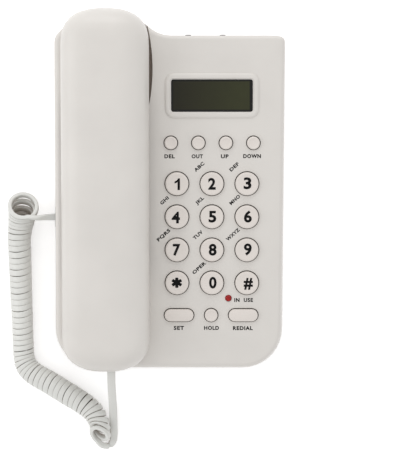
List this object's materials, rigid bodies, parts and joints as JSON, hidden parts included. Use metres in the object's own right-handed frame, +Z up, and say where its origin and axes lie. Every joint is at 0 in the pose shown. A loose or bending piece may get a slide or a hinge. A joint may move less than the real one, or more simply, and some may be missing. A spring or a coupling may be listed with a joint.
{
  "type": "corded landline phone",
  "caption": "Off-white desk telephone with a lift-off handset in a sloped base, keypad, call display, line socket and a curly cord.",
  "frame": {"origin": "bottom centre of the phone without its free cord, on the surface that the feet stand on", "axes": "+X to the right as the user faces the keypad, +Y to the rear, +Z up"},
  "size_m": [0.1536, 0.2404, 0.0686],
  "materials": {
    "housing": "fine satin moulded ABS, warm off-white",
    "keys": "satin moulded keys with printed digits",
    "pane": "clear acrylic window over an olive-grey liquid crystal, black border",
    "board": "green circuit board",
    "silicone": "moulded silicone",
    "lamp": "red diffused lamp",
    "steel": "zinc-plated steel",
    "black_plastic": "black moulded plastic",
    "rubber": "soft black rubber",
    "clear_plastic": "clear moulded plug",
    "cord_jacket": "soft satin vinyl"
  },
  "bodies": {
    "base": {"base_bottom_cover": "housing", "base_top_cover": "housing", "display_pane": "pane", "display_module": "board", "main_board": "board", "line_board": "board", "keypad_membrane": "silicone", "call_lamp": "lamp", "board_screws": "steel", "base_screws": "steel", "hook_switch": "black_plastic", "ringer_speaker": "black_plastic", "line_jack": "black_plastic", "base_cord_jack": "black_plastic", "ringer_switch": "steel", "dial_switch": "steel", "rubber_feet": "rubber", "cord_plug_base": "clear_plastic", "cord_lead_base": "cord_jacket", "cord_coil": "cord_jacket", "cord_lead_handset": "cord_jacket"},
    "handset": {"handset_back_shell": "housing", "handset_front_shell": "housing", "receiver_capsule": "black_plastic", "microphone_capsule": "black_plastic", "handset_weight": "steel", "handset_cord_jack": "black_plastic", "handset_screws": "steel", "cord_plug_handset": "clear_plastic"},
    "hook": {"hook_plunger": "housing"},
    "ringer_knob": {"ringer_knob": "black_plastic"},
    "dial_knob": {"dial_knob": "black_plastic"},
    "key_1": {"key_1": "keys"},
    "key_2": {"key_2": "keys"},
    "key_3": {"key_3": "keys"},
    "key_4": {"key_4": "keys"},
    "key_5": {"key_5": "keys"},
    "key_6": {"key_6": "keys"},
    "key_7": {"key_7": "keys"},
    "key_8": {"key_8": "keys"},
    "key_9": {"key_9": "keys"},
    "key_star": {"key_star": "keys"},
    "key_0": {"key_0": "keys"},
    "key_hash": {"key_hash": "keys"},
    "key_del": {"key_del": "keys"},
    "key_out": {"key_out": "keys"},
    "key_up": {"key_up": "keys"},
    "key_down": {"key_down": "keys"},
    "key_set": {"key_set": "keys"},
    "key_hold": {"key_hold": "keys"},
    "key_redial": {"key_redial": "keys"}
  },
  "joints": [
    {"name": "handset_lift", "type": "slide", "parent": "base", "child": "handset", "axis": [0, -0.1219, 0.9925], "range_m": [0, 0.08]},
    {"name": "hook_travel", "type": "slide", "parent": "base", "child": "hook", "axis": [0, -0.1219, 0.9925], "range_m": [0, 0.004]},
    {"name": "ringer_slide", "type": "slide", "parent": "base", "child": "ringer_knob", "axis": [1, 0, 0], "range_m": [0, 0.004]},
    {"name": "dial_slide", "type": "slide", "parent": "base", "child": "dial_knob", "axis": [1, 0, 0], "range_m": [0, 0.004]},
    {"name": "press_1", "type": "slide", "parent": "base", "child": "key_1", "axis": [0, 0.1219, -0.9925], "range_m": [0, 0.0012], "stiffness_N_per_m": 400, "deforming": ["keypad_membrane"]},
    {"name": "press_2", "type": "slide", "parent": "base", "child": "key_2", "axis": [0, 0.1219, -0.9925], "range_m": [0, 0.0012], "stiffness_N_per_m": 400, "deforming": ["keypad_membrane"]},
    {"name": "press_3", "type": "slide", "parent": "base", "child": "key_3", "axis": [0, 0.1219, -0.9925], "range_m": [0, 0.0012], "stiffness_N_per_m": 400, "deforming": ["keypad_membrane"]},
    {"name": "press_4", "type": "slide", "parent": "base", "child": "key_4", "axis": [0, 0.1219, -0.9925], "range_m": [0, 0.0012], "stiffness_N_per_m": 400, "deforming": ["keypad_membrane"]},
    {"name": "press_5", "type": "slide", "parent": "base", "child": "key_5", "axis": [0, 0.1219, -0.9925], "range_m": [0, 0.0012], "stiffness_N_per_m": 400, "deforming": ["keypad_membrane"]},
    {"name": "press_6", "type": "slide", "parent": "base", "child": "key_6", "axis": [0, 0.1219, -0.9925], "range_m": [0, 0.0012], "stiffness_N_per_m": 400, "deforming": ["keypad_membrane"]},
    {"name": "press_7", "type": "slide", "parent": "base", "child": "key_7", "axis": [0, 0.1219, -0.9925], "range_m": [0, 0.0012], "stiffness_N_per_m": 400, "deforming": ["keypad_membrane"]},
    {"name": "press_8", "type": "slide", "parent": "base", "child": "key_8", "axis": [0, 0.1219, -0.9925], "range_m": [0, 0.0012], "stiffness_N_per_m": 400, "deforming": ["keypad_membrane"]},
    {"name": "press_9", "type": "slide", "parent": "base", "child": "key_9", "axis": [0, 0.1219, -0.9925], "range_m": [0, 0.0012], "stiffness_N_per_m": 400, "deforming": ["keypad_membrane"]},
    {"name": "press_star", "type": "slide", "parent": "base", "child": "key_star", "axis": [0, 0.1219, -0.9925], "range_m": [0, 0.0012], "stiffness_N_per_m": 400, "deforming": ["keypad_membrane"]},
    {"name": "press_0", "type": "slide", "parent": "base", "child": "key_0", "axis": [0, 0.1219, -0.9925], "range_m": [0, 0.0012], "stiffness_N_per_m": 400, "deforming": ["keypad_membrane"]},
    {"name": "press_hash", "type": "slide", "parent": "base", "child": "key_hash", "axis": [0, 0.1219, -0.9925], "range_m": [0, 0.0012], "stiffness_N_per_m": 400, "deforming": ["keypad_membrane"]},
    {"name": "press_del", "type": "slide", "parent": "base", "child": "key_del", "axis": [0, 0.1219, -0.9925], "range_m": [0, 0.0012], "stiffness_N_per_m": 400, "deforming": ["keypad_membrane"]},
    {"name": "press_out", "type": "slide", "parent": "base", "child": "key_out", "axis": [0, 0.1219, -0.9925], "range_m": [0, 0.0012], "stiffness_N_per_m": 400, "deforming": ["keypad_membrane"]},
    {"name": "press_up", "type": "slide", "parent": "base", "child": "key_up", "axis": [0, 0.1219, -0.9925], "range_m": [0, 0.0012], "stiffness_N_per_m": 400, "deforming": ["keypad_membrane"]},
    {"name": "press_down", "type": "slide", "parent": "base", "child": "key_down", "axis": [0, 0.1219, -0.9925], "range_m": [0, 0.0012], "stiffness_N_per_m": 400, "deforming": ["keypad_membrane"]},
    {"name": "press_set", "type": "slide", "parent": "base", "child": "key_set", "axis": [0, 0.1219, -0.9925], "range_m": [0, 0.0012], "stiffness_N_per_m": 400, "deforming": ["keypad_membrane"]},
    {"name": "press_hold", "type": "slide", "parent": "base", "child": "key_hold", "axis": [0, 0.1219, -0.9925], "range_m": [0, 0.0012], "stiffness_N_per_m": 400, "deforming": ["keypad_membrane"]},
    {"name": "press_redial", "type": "slide", "parent": "base", "child": "key_redial", "axis": [0, 0.1219, -0.9925], "range_m": [0, 0.0012], "stiffness_N_per_m": 400, "deforming": ["keypad_membrane"]}
  ],
  "couplings": [
    {"joint": "hook_travel", "follows": "handset_lift", "ratio": 0.05}
  ]
}
